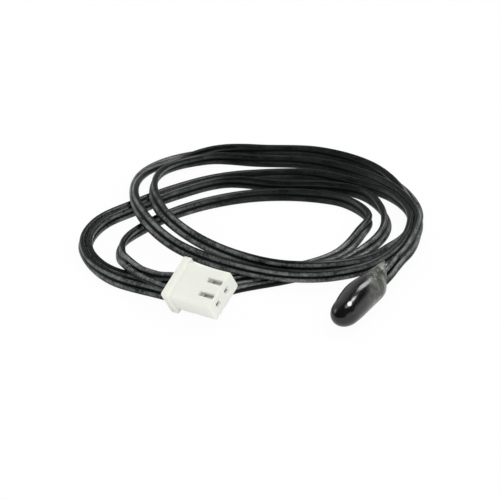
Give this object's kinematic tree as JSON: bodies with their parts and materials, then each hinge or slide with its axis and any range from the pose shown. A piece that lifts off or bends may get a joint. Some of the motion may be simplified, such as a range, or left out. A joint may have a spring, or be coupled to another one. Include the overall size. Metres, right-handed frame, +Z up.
{
  "type": "temperature sensor",
  "caption": "Resin-dipped bead temperature sensor on a flat twin wire, lying in a loose coil, with a two-way crimp plug.",
  "frame": {"origin": "under the middle of the sensing head, on the plane that the part lies on", "axes": "+Z up from that plane; +Y along the head's longer side in plan, from its round tip towards its wire; the wire's coil and the plug lie towards -X and +Y"},
  "size_m": [0.0549, 0.0579, 0.0078],
  "materials": {
    "resin": "gloss",
    "bead_coat": "satin",
    "chip_ceramic": "matte",
    "tinned_wire": "satin",
    "solder": "satin",
    "sleeve_plastic": "satin",
    "copper_strand": "satin",
    "wire_jacket": "satin",
    "nylon": "satin",
    "tinned_sheet": "satin"
  },
  "bodies": {
    "root": {"resin_drop": "resin", "element_bead": "bead_coat", "sensing_chip": "chip_ceramic", "element_wire_a": "tinned_wire", "element_wire_b": "tinned_wire", "solder_joint_a": "solder", "solder_joint_b": "solder", "joint_sleeve": "sleeve_plastic", "head_strand_a": "copper_strand", "head_strand_b": "copper_strand", "cable": "wire_jacket", "plug_strand_a": "copper_strand", "plug_strand_b": "copper_strand", "plug_housing": "nylon", "terminal_a": "tinned_sheet", "terminal_b": "tinned_sheet"}
  },
  "joints": []
}
